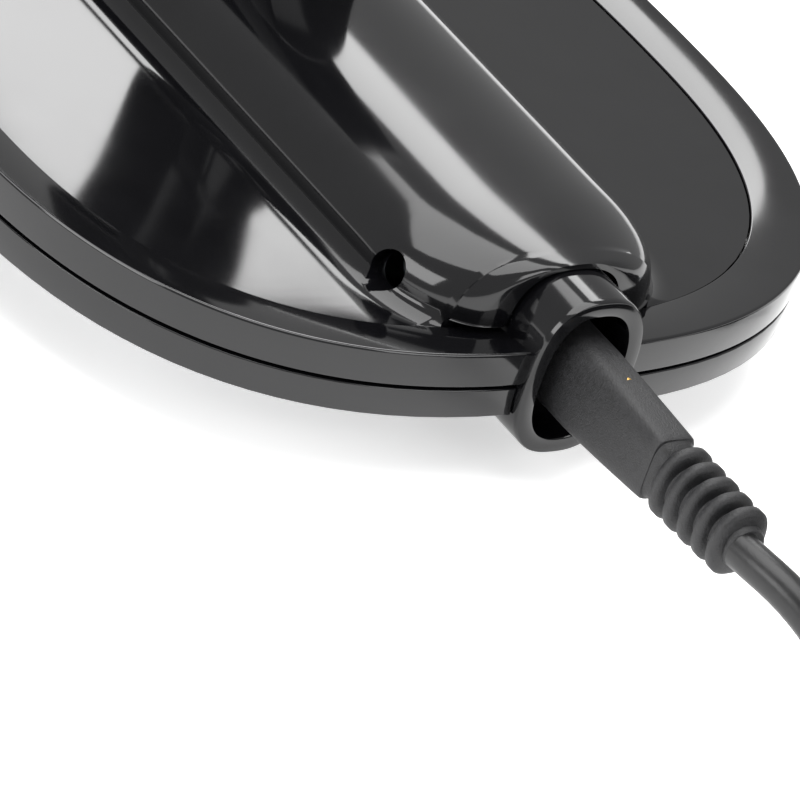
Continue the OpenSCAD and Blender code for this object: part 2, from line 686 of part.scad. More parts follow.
// ---------------------------------------------------------------- cord set
// Distances along the cord set are measured backwards from the socket's mouth
plug_end = back_x - plug_out;
plug_start = back_x + plug_in;
rib_h = 11.6;
rib_w = 9.4;
rib_t = 1.9;
core_r = 3.6;
first_rib = 3.3;
relief_end = plug_end - first_rib - rib_pitch * (rib_count - 1) - 2.2;
module plug_slice(x, w, h) {
    translate([x, 0, socket_z]) rotate([0, 90, 0]) for (s = [-1, 1])
        translate([s * (h - w) / 2, 0, 0]) cylinder(r = w / 2, h = 0.5, center = true, $fn = 32);
}
module connector_body() {
    color([0.06, 0.06, 0.06]) difference() {
        union() {
            translate([back_x - 3, 0, socket_z]) rotate([0, 90, 0]) linear_extrude(plug_in + 3) union() {
                for (s = [-1, 1]) translate([s * (plug_h - plug_w) / 2, 0])
                    circle(r = plug_w / 2, $fn = 48);
                square([plug_h - plug_w, plug_w], center = true);
            }
            hull() {
                plug_slice(back_x - 2.8, plug_w, plug_h);
                plug_slice(plug_end + 0.25, plug_w - 0.8, plug_tail_h);
            }
        }
        for (s = [-1, 1])
            rod_x(pin_r + run_gap, back_x + 3, back_x + plug_in + 1, 0, socket_z + s * pin_pitch / 2);
        for (s = [-1, 1]) rod_x(2, back_x - 9, back_x + 3, 0, socket_z + s * pin_pitch / 2);
    }
}
module connector_contacts() {
    color([0.85, 0.75, 0.45]) for (s = [-1, 1])
        rod_x(2, back_x - 9, back_x + 3, 0, socket_z + s * pin_pitch / 2);
}
module strain_relief() {
    color([0.05, 0.05, 0.05]) union() {
        hull() {
            plug_slice(plug_end - 0.25, plug_w - 1, plug_tail_h - 0.4);
            plug_slice(plug_end - first_rib, rib_w - 3, rib_w - 2);
        }
        rod_x(core_r, relief_end, plug_end - 2, 0, socket_z);
        for (k = [0:rib_count - 1]) translate([plug_end - first_rib - rib_pitch * k, 0, socket_z])
            rotate([90, 0, 90]) linear_extrude(rib_t, center = true)
                polygon(super_pts(rib_w / 2, rib_h / 2, 2.2, 36));
    }
}
// The cord's route: out of the relief, down to the surface and round into the coil
cord_r = cord_d / 2;
coil_x = -208;
coil_y = -49;
coil_r = 32;
coil_layers = 3;
coil_half = cord_d * coil_layers / 2;
lead_route = [[-162.6, 0, 18], [-167, -0.6, 18], [-171, -1.6, 17.6], [-175, -3, 16.4], [-179, -4.6, 14.4],
    [-183, -6.2, 11.8], [-187, -7.8, 9], [-191, -9.2, 6.6], [-195, -10.4, 4.6], [-199, -11, 3.4],
    [-203, -11.3, 2.8], [-208, -11.4, 2.8]];
tail_route = [[-208, -86.6, 14], [-203, -86.7, 13.8], [-198, -86.8, 12.8], [-193, -86.9, 11.2],
    [-188, -87, 9.4], [-183, -87, 7.9], [-178, -87, 7.1], [-172, -87, 6.9]];
module cord_lead() {
    color([0.05, 0.05, 0.05]) tube(smooth(lead_route, 2), cord_r, 10);
}
module cord_tail() {
    color([0.05, 0.05, 0.05]) tube(smooth(tail_route, 2), cord_r, 10);
}
module cord_coil() {
    out_r = coil_r + coil_half;
    color([0.05, 0.05, 0.05]) translate([coil_x, coil_y, 0]) difference() {
        rotate_extrude($fn = 96)
            translate([coil_r - coil_half, 0]) square([2 * coil_half, coil_layers * cord_d]);
        // Where the lead comes in and the tail goes out
        translate([0, out_r - cord_d - slip_gap, -1]) cube([out_r, cord_d + 1, cord_d + 3]);
        translate([0, -out_r - 1, cord_d]) cube([out_r, cord_d + 1 + slip_gap, coil_layers * cord_d]);
    }
}
tie_t = 0.8;
tie_w = 10;
tie_slack = 0.6;     // the coil's inner side curves in by this much across the tie
module cord_tie() {
    color([0.2, 0.2, 0.2]) translate([coil_x - coil_r, coil_y, 0]) difference() {
        translate([-coil_half - tie_t, -tie_w / 2, 0])
            cube([2 * (coil_half + tie_t) + tie_slack, tie_w, coil_layers * cord_d + tie_t]);
        translate([-coil_half, -tie_w, -1])
            cube([2 * coil_half + tie_slack, 2 * tie_w, coil_layers * cord_d + 1]);
    }
}
mains_x = -128;
mains_y = -87;
mains_l = 30;
mains_w = 35;
mains_h = 13.8;
mains_pin_r = 2;
mains_pin_l = 19;
mains_shank_r = 1.6;
mains_shank_gap = 0.5;   // bare shank between the plug's face and the full pin
mains_pin_pitch = 19;
mains_relief_l = 16;
module mains_section(w, h) {
    hull() for (s = [-1, 1]) translate([0, s * (w - h) / 2]) circle(r = h / 2, $fn = 24);
}
module mains_plug() {
    color([0.05, 0.05, 0.05]) difference() {
        translate([mains_x, mains_y, mains_h / 2]) rotate([0, -90, 0]) union() {
            linear_extrude(mains_l) mains_section(mains_w, mains_h);
            translate([0, 0, mains_l]) cylinder(r1 = 5.4, r2 = cord_r + 1, h = mains_relief_l, $fn = 48);
        }
        for (s = [-1, 1])
            rod_x(mains_shank_r, mains_x - 8, mains_x + 1, mains_y + s * mains_pin_pitch / 2, mains_h / 2);
        rod_x(cord_r, mains_x - mains_l - mains_relief_l - 1, mains_x - mains_l - 12, mains_y, mains_h / 2);
    }
}
module mains_pins() {
    color([0.8, 0.8, 0.82]) for (s = [-1, 1]) translate([0, mains_y + s * mains_pin_pitch / 2, 0]) union() {
        rod_x(mains_shank_r, mains_x - 8, mains_x + mains_shank_gap + 1, 0, mains_h / 2);
        rod_x(mains_pin_r, mains_x + mains_shank_gap, mains_x + mains_pin_l, 0, mains_h / 2);
    }
}

soleplate();
heating_element();
element_terminals();
heat_shield();
thermal_fuse();
thermostat_frame();
thermostat_pin();
thermostat_lever();
dial_shaft();
lower_pan();
rim_ring();
body_shell();
inlet_collar();
inlet_holder();
inlet_pins();
terminal_block();
lead_wires();
pilot_lamp();
lamp_lens();
dial_housing();
temperature_dial();
rear_post();
front_post();
pivot_pins();
pivot_bushes();
handle_left();
handle_right();
grip_insert();
release_button();
release_spring();
sole_screws();
pan_screws();
flank_screws();
handle_screws();
connector_body();
connector_contacts();
strain_relief();
cord_lead();
cord_coil();
cord_tail();
cord_tie();
mains_plug();
mains_pins();
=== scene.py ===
import bpy
import math
from mathutils import Matrix, Quaternion, Vector


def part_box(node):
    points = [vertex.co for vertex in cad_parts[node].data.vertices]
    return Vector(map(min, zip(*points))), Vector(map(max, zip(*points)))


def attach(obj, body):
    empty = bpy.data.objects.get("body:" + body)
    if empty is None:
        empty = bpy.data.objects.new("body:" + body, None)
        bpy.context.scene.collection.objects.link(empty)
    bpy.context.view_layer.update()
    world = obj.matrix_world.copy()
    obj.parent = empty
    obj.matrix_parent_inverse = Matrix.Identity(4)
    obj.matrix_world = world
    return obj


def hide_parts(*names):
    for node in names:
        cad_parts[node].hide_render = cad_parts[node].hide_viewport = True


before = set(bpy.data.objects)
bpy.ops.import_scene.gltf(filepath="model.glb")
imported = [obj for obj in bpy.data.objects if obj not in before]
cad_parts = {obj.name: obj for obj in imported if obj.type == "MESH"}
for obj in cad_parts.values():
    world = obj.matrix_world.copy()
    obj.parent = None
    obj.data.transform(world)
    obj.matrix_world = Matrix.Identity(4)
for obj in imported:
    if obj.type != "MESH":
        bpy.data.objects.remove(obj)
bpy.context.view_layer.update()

MM = 0.001


def mm(*values):
    """Millimetres to metres, as a point."""
    return Vector([v * MM for v in values])


# ------------------------------------------------------------------ camera
# From behind and to the left of the iron, rolled, with a long lens
AIM = mm(-110.4, 20.5, 8.0)
VIEW_AZIMUTH, VIEW_HEIGHT, VIEW_ROLL = (math.radians(a) for a in (44.05, 30.52, 20.23))
VIEW_DISTANCE = 1.1885


def add_camera():
    back = Vector((-math.cos(VIEW_AZIMUTH) * math.cos(VIEW_HEIGHT),
                   math.sin(VIEW_AZIMUTH) * math.cos(VIEW_HEIGHT), math.sin(VIEW_HEIGHT)))
    data = bpy.data.cameras.new("camera")
    data.sensor_width, data.lens, data.clip_end = 36, 380.96, 20
    camera = bpy.data.objects.new("camera", data)
    bpy.context.scene.collection.objects.link(camera)
    camera.location = AIM + back * VIEW_DISTANCE
    camera.rotation_mode = "QUATERNION"
    camera.rotation_quaternion = back.to_track_quat("Z", "Y") @ Quaternion((0, 0, 1), VIEW_ROLL)
    bpy.context.scene.camera = camera


add_camera()

# ------------------------------------------------------------------ cord
CORD_D = 5.6
COIL_X, COIL_Y, COIL_R = -208.0, -49.0, 32.0
LEAD = [(-162.6, 0, 18), (-167, -0.6, 18), (-171, -1.6, 17.6), (-175, -3, 16.4), (-179, -4.6, 14.4),
        (-183, -6.2, 11.8), (-187, -7.8, 9), (-191, -9.2, 6.6), (-195, -10.4, 4.6), (-199, -11, 3.4),
        (-203, -11.3, 2.8), (-208, -11.4, 2.8)]
TAIL = [(-208, -86.6, 14), (-203, -86.7, 13.8), (-198, -86.8, 12.8), (-193, -86.9, 11.2),
        (-188, -87, 9.4), (-183, -87, 7.9), (-178, -87, 7.1), (-172, -87, 6.9)]
# The place of each turn in the coil, as column and layer, from the lead's end to the tail's start
TURNS = [(2, 0), (1, 0), (0, 0), (0, 1), (0, 2), (1, 2), (1, 1), (2, 1), (2, 2)]


def smooth_way(points, steps):
    """A smooth curve through points, the same one as the cord's solids follow."""
    p = [Vector(q) for q in points]
    way = []
    for k in range(len(p) - 1):
        a, b, c, d = p[max(k - 1, 0)], p[k], p[k + 1], p[min(k + 2, len(p) - 1)]
        for j in range(steps):
            t = j / steps
            way.append(0.5 * (2 * b + (c - a) * t + (2 * a - 5 * b + 4 * c - d) * t ** 2
                              + (3 * b - a - 3 * c + d) * t ** 3))
    return way + [p[-1]]


def coil_way():
    """Eight turns and a half, each in its own place beside or above the one before."""
    way, per_turn = [], 36
    for k in range(1, int(8.5 * per_turn)):
        turn, part = divmod(k / per_turn, 1)
        here, there = TURNS[int(turn)], TURNS[min(int(turn) + 1, len(TURNS) - 1)]
        t = max(0.0, (part - 0.82) / 0.18)
        t = t * t * (3 - 2 * t)
        column = here[0] + (there[0] - here[0]) * t
        layer = here[1] + (there[1] - here[1]) * t
        radius = COIL_R + (column - 1) * CORD_D
        angle = math.radians(90) + 2 * math.pi * k / per_turn
        way.append(Vector((COIL_X + radius * math.cos(angle), COIL_Y + radius * math.sin(angle),
                           CORD_D * (layer + 0.5))))
    return way


cord_way = smooth_way(LEAD, 2) + coil_way() + smooth_way(TAIL, 2)


def add_cord():
    data = bpy.data.curves.new("mains_cord", "CURVE")
    data.dimensions = "3D"
    line = data.splines.new("POLY")
    line.points.add(len(cord_way) - 1)
    for point, place in zip(line.points, cord_way):
        point.co = (*(place * MM), 1)
    data.bevel_depth = CORD_D / 2 * MM
    data.bevel_resolution = 6
    data.use_fill_caps = True
    line.use_smooth = True
    cord = bpy.data.objects.new("mains_cord", data)
    bpy.context.scene.collection.objects.link(cord)
    return cord


mains_cord = add_cord()

# ------------------------------------------------------------------ floor and light
def area_light(name, place, aim, width, height, power, colour=(1, 1, 1)):
    data = bpy.data.lights.new(name, "AREA")
    data.shape, data.size, data.size_y, data.energy, data.color = "RECTANGLE", width, height, power, colour
    lamp = bpy.data.objects.new(name, data)
    bpy.context.scene.collection.objects.link(lamp)
    lamp.location = place
    lamp.rotation_euler = (Vector(place) - Vector(aim)).to_track_quat("Z", "Y").to_euler()


def add_studio():
    bpy.ops.mesh.primitive_plane_add(size=14, location=(0, 0, 0))
    floor = bpy.context.object
    floor.name = "studio_floor"
    world = bpy.data.worlds.new("studio")
    bpy.context.scene.world = world
    world.use_nodes = True
    world.node_tree.nodes["Background"].inputs["Color"].default_value = (1, 1, 1, 1)
    world.node_tree.nodes["Background"].inputs["Strength"].default_value = 0.55
    bpy.context.scene.view_settings.view_transform = "Standard"
    aim = (-0.08, 0, 0)
    area_light("overhead", (0.15, 0.1, 1.6), aim, 1.6, 1.6, 30)
    area_light("left_side", (-0.1, 1.7, 0.75), aim, 1.2, 0.7, 14)
    area_light("behind", (-1.7, -0.5, 0.9), aim, 0.9, 0.9, 10)
    return floor


def add_deck_panel():
    """A soft panel beyond the iron whose straight edge is mirrored across the flat deck."""
    mirrored = Vector((0.619, -0.599, 0.508))
    edge = mm(-76, 45.5, 20.75) + mirrored * 0.75
    outward = Vector((-0.281, 0.960, 0))
    across = (outward - mirrored * outward.dot(mirrored)).normalized()
    data = bpy.data.lights.new("deck_panel", "AREA")
    data.shape, data.size, data.size_y, data.energy = "RECTANGLE", 0.5, 0.16, 1.6
    lamp = bpy.data.objects.new("deck_panel", data)
    bpy.context.scene.collection.objects.link(lamp)
    lamp.location = edge + across * 0.08
    along = across.cross(mirrored)
    turn = Matrix((along, across, mirrored)).transposed()
    lamp.rotation_euler = turn.to_euler()


studio_floor = add_studio()
add_deck_panel()

# ------------------------------------------------------------------ materials
def linear(code):
    """An sRGB hex colour as the linear colour that a shader takes."""
    parts = [int(code[i:i + 2], 16) / 255 for i in (0, 2, 4)]
    return tuple(c / 12.92 if c <= 0.04045 else ((c + 0.055) / 1.055) ** 2.4 for c in parts) + (1.0,)


def add_node(tree, kind, settings=(), **links):
    """Adds one node. settings are attributes or input values by name, links are sockets by input name."""
    made = tree.nodes.new(kind)
    for key, value in dict(settings).items():
        if hasattr(made, key):
            setattr(made, key, value)
        else:
            made.inputs[key].default_value = value
    for key, socket in links.items():
        tree.links.new(socket, made.inputs[key.replace("_", " ")])
    return made


def new_material(name, shader_values):
    material = bpy.data.materials.new(name)
    material.use_nodes = True
    tree = material.node_tree
    shader = tree.nodes["Principled BSDF"]
    for key, value in shader_values.items():
        shader.inputs[key].default_value = value
    place = add_node(tree, "ShaderNodeTexCoord").outputs["Object"]
    return material, tree, shader, place


def two_tone(tree, shader, place, dark, light, grain_mm, detail=4.0):
    """Mottles the colour between two close tones, with patches grain_mm across."""
    noise = add_node(tree, "ShaderNodeTexNoise", {"Scale": 1 / (grain_mm * MM), "Detail": detail},
                     Vector=place)
    ramp = add_node(tree, "ShaderNodeValToRGB", Fac=noise.outputs["Fac"])
    ramp.color_ramp.elements[0].color, ramp.color_ramp.elements[1].color = linear(dark), linear(light)
    ramp.color_ramp.elements[0].position, ramp.color_ramp.elements[1].position = 0.3, 0.7
    tree.links.new(ramp.outputs["Color"], shader.inputs["Base Color"])
    return noise


def gloss_abs():
    # Piano-black ABS, moulded in a polished tool: a deep black with mirror gloss. The broad, very
    # shallow waves are the flow of the moulding, and the fine noise is dust and wiping marks.
    material, tree, shader, place = new_material("gloss_black_abs", {"IOR": 1.53, "Specular IOR Level": 0.5})
    two_tone(tree, shader, place, "08080a", "0c0c0e", 9)
    haze = add_node(tree, "ShaderNodeTexNoise", {"Scale": 1 / (14 * MM), "Detail": 6.0}, Vector=place)
    spread = add_node(
        tree, "ShaderNodeMapRange", {"To Min": 0.05, "To Max": 0.13}, Value=haze.outputs["Fac"])
    tree.links.new(spread.outputs["Result"], shader.inputs["Roughness"])
    waves = add_node(tree, "ShaderNodeTexNoise", {"Scale": 1 / (22 * MM), "Detail": 1.0}, Vector=place)
    bump = add_node(tree, "ShaderNodeBump", {"Distance": 0.05 * MM, "Strength": 0.5},
                    Height=waves.outputs["Fac"])
    tree.links.new(bump.outputs["Normal"], shader.inputs["Normal"])
    return material


def satin_plastic(name, dark, light, rough, grain_mm, depth_mm):
    # Engineering plastic from a spark-eroded tool: an even fine grain that softens every highlight
    material, tree, shader, place = new_material(name, {"IOR": 1.5})
    noise = two_tone(tree, shader, place, dark, light, grain_mm)
    spread = add_node(
        tree, "ShaderNodeMapRange",
        {"To Min": rough - 0.06, "To Max": rough + 0.08}, Value=noise.outputs["Fac"])
    tree.links.new(spread.outputs["Result"], shader.inputs["Roughness"])
    grain = add_node(tree, "ShaderNodeTexNoise", {"Scale": 1 / (grain_mm * 0.35 * MM), "Detail": 3.0},
                     Vector=place)
    bump = add_node(tree, "ShaderNodeBump", {"Distance": depth_mm * MM, "Strength": 1.0},
                    Height=grain.outputs["Fac"])
    tree.links.new(bump.outputs["Normal"], shader.inputs["Normal"])
    return material


def brushed_metal(name, dark, light, rough, stretch, line_mm=0.35):
    # Bare metal with fine lines left by the brush or the die along one direction
    material, tree, shader, place = new_material(name, {"Metallic": 1.0})
    lined = add_node(tree, "ShaderNodeMapping", {"Scale": stretch}, Vector=place)
    noise = two_tone(tree, shader, lined.outputs["Vector"], dark, light, line_mm, 6.0)
    spread = add_node(
        tree, "ShaderNodeMapRange",
        {"To Min": rough - 0.05, "To Max": rough + 0.12}, Value=noise.outputs["Fac"])
    tree.links.new(spread.outputs["Result"], shader.inputs["Roughness"])
    bump = add_node(tree, "ShaderNodeBump", {"Distance": 0.01 * MM, "Strength": 0.4},
                    Height=noise.outputs["Fac"])
    tree.links.new(bump.outputs["Normal"], shader.inputs["Normal"])
    return material


def ceramic_white():
    # Steatite, pressed and fired: a dry off-white with tiny specks and pores
    material, tree, shader, place = new_material("steatite_ceramic", {"IOR": 1.6})
    noise = two_tone(tree, shader, place, "d8d2c4", "efeade", 1.2)
    spread = add_node(
        tree, "ShaderNodeMapRange", {"To Min": 0.45, "To Max": 0.65}, Value=noise.outputs["Fac"])
    tree.links.new(spread.outputs["Result"], shader.inputs["Roughness"])
    pores = add_node(tree, "ShaderNodeTexVoronoi", {"Scale": 1 / (0.6 * MM)}, Vector=place)
    bump = add_node(tree, "ShaderNodeBump", {"Distance": 0.05 * MM, "Strength": 0.4},
                    Height=pores.outputs["Distance"])
    tree.links.new(bump.outputs["Normal"], shader.inputs["Normal"])
    return material


def red_lens():
    # Clear red polycarbonate, moulded with a fine inner ripple that spreads the lamp's light
    material, tree, shader, place = new_material(
        "red_polycarbonate", {"IOR": 1.58, "Transmission Weight": 0.55, "Roughness": 0.12})
    two_tone(tree, shader, place, "8c0c08", "b3160e", 2.5)
    ripple = add_node(tree, "ShaderNodeTexWave", {"Scale": 1 / (3 * MM), "Distortion": 0.6}, Vector=place)
    bump = add_node(tree, "ShaderNodeBump", {"Distance": 0.05 * MM, "Strength": 0.35},
                    Height=ripple.outputs["Fac"])
    tree.links.new(bump.outputs["Normal"], shader.inputs["Normal"])
    return material


def lamp_glass():
    # Soda glass of a small neon lamp, a little orange from its coating
    material, tree, shader, place = new_material(
        "lamp_glass", {"IOR": 1.5, "Transmission Weight": 0.7, "Roughness": 0.08})
    two_tone(tree, shader, place, "d98a4c", "f0b070", 3)
    return material


def printed_white():
    # Pad-printed white ink, slightly raised and uneven
    material, tree, shader, place = new_material("printed_ink", {"IOR": 1.5})
    noise = two_tone(tree, shader, place, "cfcfca", "e4e4df", 0.8)
    spread = add_node(
        tree, "ShaderNodeMapRange", {"To Min": 0.4, "To Max": 0.6}, Value=noise.outputs["Fac"])
    tree.links.new(spread.outputs["Result"], shader.inputs["Roughness"])
    return material


def floor_paper():
    # Matt white background paper with a faint tooth
    material, tree, shader, place = new_material("background_paper", {
        "Roughness": 0.85, "IOR": 1.4, "Emission Color": (1, 1, 1, 1), "Emission Strength": 0.5})
    two_tone(tree, shader, place, "f8f8f8", "fcfcfc", 40)
    return material


def sheathed_wire():
    # Glass-fibre sleeve over the lead wires, woven tight
    material, tree, shader, place = new_material("fibre_sleeve", {"IOR": 1.5})
    two_tone(tree, shader, place, "a49a8a", "d6cfc2", 0.5)
    weave = add_node(tree, "ShaderNodeTexChecker", {"Scale": 1 / (0.35 * MM)}, Vector=place)
    bump = add_node(tree, "ShaderNodeBump", {"Distance": 0.08 * MM, "Strength": 0.6},
                    Height=weave.outputs["Fac"])
    tree.links.new(bump.outputs["Normal"], shader.inputs["Normal"])
    shader.inputs["Roughness"].default_value = 0.8
    return material


GLOSS = gloss_abs()
SATIN = satin_plastic("satin_black_abs", "0c0c0d", "131314", 0.34, 0.9, 0.012)
GRAINED = satin_plastic("spark_grained_pvc", "141415", "232325", 0.5, 0.75, 0.09)
CORD_PVC = satin_plastic("cord_pvc", "0f0f10", "19191a", 0.33, 1.6, 0.02)
RUBBER = satin_plastic("grip_rubber", "161617", "212123", 0.66, 0.6, 0.06)
TIE = satin_plastic("nylon_tie", "1b1b1c", "2a2a2c", 0.5, 0.8, 0.03)
SOLE_METAL = brushed_metal("polished_aluminium", "b4b6ba", "dfe1e4", 0.2, (0.03, 1, 1))
SHEATH = brushed_metal("element_sheath_steel", "55534f", "8d8a84", 0.42, (1, 1, 1), 1.5)
BRASS = brushed_metal("drawn_brass", "a5803f", "d8b469", 0.24, (0.08, 1, 1))
ZINC = brushed_metal("zinc_plated_steel", "8f9498", "c9cdd1", 0.3, (1, 1, 1), 1.2)
BRIGHT = brushed_metal("bright_steel", "a5a8ab", "dcdee0", 0.2, (0.1, 1, 1))
CERAMIC = ceramic_white()
LENS = red_lens()
LAMP = lamp_glass()
INK = printed_white()
WIRE = sheathed_wire()
studio_floor.data.materials.append(floor_paper())

NODE_FINISH = {
    "soleplate": SOLE_METAL, "heating_element": SHEATH, "element_terminals": BRASS, "heat_shield": ZINC,
    "thermal_fuse": CERAMIC, "thermostat_frame": ZINC, "thermostat_pin": BRIGHT, "thermostat_lever": BRASS,
    "dial_shaft": BRIGHT, "lower_pan": SATIN, "rim_ring": GLOSS, "body_shell": GLOSS, "inlet_collar": GLOSS,
    "inlet_holder": SATIN, "inlet_pins": BRASS, "terminal_block": CERAMIC, "lead_wires": WIRE,
    "pilot_lamp": LAMP, "lamp_lens": LENS, "dial_housing": GLOSS, "temperature_dial": SATIN,
    "rear_post": GLOSS, "front_post": GLOSS, "pivot_pins": BRIGHT, "pivot_bushes": BRASS,
    "handle_left": GLOSS, "handle_right": GLOSS, "grip_insert": RUBBER, "release_button": SATIN,
    "release_spring": BRIGHT, "sole_screws": ZINC, "pan_screws": ZINC, "flank_screws": ZINC,
    "handle_screws": ZINC, "connector_body": GRAINED, "connector_contacts": BRASS, "strain_relief": GRAINED,
    "cord_lead": CORD_PVC, "cord_coil": CORD_PVC, "cord_tail": CORD_PVC, "cord_tie": TIE,
    "mains_plug": SATIN, "mains_pins": BRIGHT,
}
for node_name, finish in NODE_FINISH.items():
    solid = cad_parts[node_name]
    solid.data.materials.clear()
    solid.data.materials.append(finish)


def dress(piece, finish, body, nodes=()):
    piece.data.materials.clear()
    piece.data.materials.append(finish)
    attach(piece, body)
    if nodes:
        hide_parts(*nodes)
    return piece


# ------------------------------------------------------------------ shaping helpers
def deselect():
    if bpy.context.object and bpy.context.object.mode != "OBJECT":
        bpy.ops.object.mode_set(mode="OBJECT")
    bpy.ops.object.select_all(action="DESELECT")


def pick(piece):
    deselect()
    piece.select_set(True)
    bpy.context.view_layer.objects.active = piece


def skinned(name, rings, around=True, along=False, capped=True):
    """A mesh skinned over rings of the same number of points, in millimetres."""
    count, m = len(rings[0]), len(rings)
    points = [Vector(p) * MM for ring in rings for p in ring]
    faces = []
    for i in range(m if along else m - 1):
        for j in range(count if around else count - 1):
            a, b = i * count, ((i + 1) % m) * count
            faces.append((a + j, a + (j + 1) % count, b + (j + 1) % count, b + j))
    if capped and not along:
        faces += [tuple(range(count - 1, -1, -1)), tuple(range((m - 1) * count, m * count))]
    mesh = bpy.data.meshes.new(name)
    mesh.from_pydata(points, [], faces)
    piece = bpy.data.objects.new(name, mesh)
    bpy.context.scene.collection.objects.link(piece)
    pick(piece)
    bpy.ops.object.mode_set(mode="EDIT")
    bpy.ops.mesh.select_all(action="SELECT")
    bpy.ops.mesh.normals_make_consistent(inside=False)
    bpy.ops.object.mode_set(mode="OBJECT")
    return piece


def smoothed(piece, angle=35):
    pick(piece)
    bpy.ops.object.shade_smooth_by_angle(angle=math.radians(angle))
    return piece


def modified(piece, kind, **settings):
    pick(piece)
    modifier = piece.modifiers.new(kind.lower(), kind)
    for key, value in settings.items():
        setattr(modifier, key, value)
    bpy.ops.object.modifier_apply(modifier=modifier.name)
    return piece


def cut_by(piece, *cutters):
    for cutter in cutters:
        modified(piece, "BOOLEAN", operation="DIFFERENCE", object=cutter, solver="EXACT")
    for cutter in cutters:
        bpy.data.objects.remove(cutter)
    return piece


def rod(name, radius, start, end, sides=64):
    """A round rod between two points in millimetres, with its place in its mesh."""
    a, b = mm(*start), mm(*end)
    turn = (b - a).to_track_quat("Z", "Y").to_euler()
    deselect()
    bpy.ops.mesh.primitive_cylinder_add(vertices=sides, radius=radius * MM, depth=(b - a).length,
                                        location=(a + b) / 2, rotation=turn)
    piece = bpy.context.object
    piece.name = name
    bpy.ops.object.transform_apply(location=True, rotation=True, scale=True)
    return piece


def block(name, low, high):
    a, b = mm(*low), mm(*high)
    deselect()
    bpy.ops.mesh.primitive_cube_add(size=1, location=(a + b) / 2, scale=b - a)
    piece = bpy.context.object
    piece.name = name
    bpy.ops.object.transform_apply(location=True, rotation=True, scale=True)
    return piece


def softened(name, node, width, segments=3, angle=32):
    """A merged copy of a CAD node with its sharp edges rounded."""
    piece = bpy.data.objects.new(name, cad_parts[node].data.copy())
    bpy.context.scene.collection.objects.link(piece)
    pick(piece)
    bpy.ops.object.mode_set(mode="EDIT")
    bpy.ops.mesh.select_all(action="SELECT")
    bpy.ops.mesh.remove_doubles(threshold=0.02 * MM)
    bpy.ops.mesh.dissolve_limited(angle_limit=math.radians(1.2))
    bpy.ops.object.mode_set(mode="OBJECT")
    modified(piece, "BEVEL", width=width * MM, segments=segments, limit_method="ANGLE",
             angle_limit=math.radians(angle), use_clamp_overlap=True, miter_outer="MITER_ARC")
    return smoothed(piece, 40)


# ------------------------------------------------------------------ the rim's outline
BACK_X, FRONT_X, RIM_W, HEEL_L = -122.0, 122.0, 138.0, 70.5
HEEL_BACK, HEEL_EXP, TIP_EXP_X, TIP_EXP_Y, TIP_K = 1.5, 2.6, 2.0, 1.4, 1.6
WIDE_X = BACK_X + HEEL_BACK + HEEL_L
TIP_L = FRONT_X - WIDE_X
RIM_LIFT, RING_Z, RIM_TOP, DECK_Z, RING_W = 11.3, 16.5, 22.1, 20.75, 8.3


def power(v, e):
    return 0.0 if v <= 0 else v ** e


def outline(inset, quarter=72, tip_k=TIP_K):
    rear = [(WIDE_X - (HEEL_L - inset) * power(math.cos(a), 2 / HEEL_EXP),
             (RIM_W / 2 - inset) * power(math.sin(a), 2 / HEEL_EXP))
            for a in (math.pi / 2 * (k / quarter) ** 1.15 for k in range(quarter))]
    tip = [(WIDE_X + (TIP_L - tip_k * inset) * power(math.cos(a), 2 / TIP_EXP_X),
            (RIM_W / 2 - inset) * power(math.sin(a), 2 / TIP_EXP_Y))
           for a in (math.pi / 2 * (1 - k / quarter) for k in range(quarter + 1))]
    half = rear + tip
    return [(x, -y) for x, y in half] + half[-2:0:-1]


def half_width(inset, x):
    if x < WIDE_X:
        return (RIM_W / 2 - inset) * power(1 - power((WIDE_X - x) / (HEEL_L - inset), HEEL_EXP), 1 / HEEL_EXP)
    return (RIM_W / 2 - inset) * power(1 - power((x - WIDE_X) / (TIP_L - TIP_K * inset), TIP_EXP_X),
                                       1 / TIP_EXP_Y)


def rounded(corners, steps=4):
    """A closed profile in which each corner with a radius is a small arc: (inset, z, radius)."""
    out, n = [], len(corners)
    for k, (u, z, r) in enumerate(corners):
        here = Vector((u, z))
        if r == 0:
            out.append((u, z))
            continue
        before = (Vector(corners[k - 1][:2]) - here).normalized() * r
        after = (Vector(corners[(k + 1) % n][:2]) - here).normalized() * r
        for j in range(steps + 1):
            t = j / steps
            spot = here + before * (1 - t) ** 2 + after * t ** 2
            out.append((spot.x, spot.y))
    return out


def swept(name, corners, tip_k=TIP_K):
    rings = [[(x, y, z) for x, y in outline(u, tip_k=tip_k)] for u, z in rounded(corners)]
    return skinned(name, rings, along=True)


# ------------------------------------------------------------------ socket shapes
SOCKET_Z, COLLAR_W, COLLAR_H, COLLAR_WALL, COLLAR_L = 18.0, 18.8, 26.0, 2.6, 18.0


def oval(half_w, half_h, x, exponent=2.6, count=96, z=SOCKET_Z, y=0.0):
    ring = []
    for k in range(count):
        c, s = math.cos(2 * math.pi * k / count), math.sin(2 * math.pi * k / count)
        ring.append((x, y + half_w * math.copysign(power(abs(c), 2 / exponent), c),
                     z + half_h * math.copysign(power(abs(s), 2 / exponent), s)))
    return ring


def collar_cutter():
    w, h = COLLAR_W / 2 - 0.2, COLLAR_H / 2 - 0.2
    return skinned("collar_cutter", [oval(w, h, BACK_X - 6), oval(w, h, BACK_X + COLLAR_L - 1)])


# ------------------------------------------------------------------ body shell
SHELL_BACK, DECK_BACK, WALL = BACK_X + 8, BACK_X + HEEL_BACK + RING_W + 1.2, 2.2
RIDGE_HW, RIDGE_TOP, NECK_SKIN, SHOULDER_L, NOSE_X, NOSE_L = 23.5, 33.0, 1.0, 18.0, 104.0, 26.0
RIDGE_EXP, FILLET = 2.6, 5.0
FLANK_X, FLANK_Z, FLANK_HOLE_R = BACK_X + 21, SOCKET_Z + 6, 2.9
DIAL_X, LENS_X = 24.0, -8.0


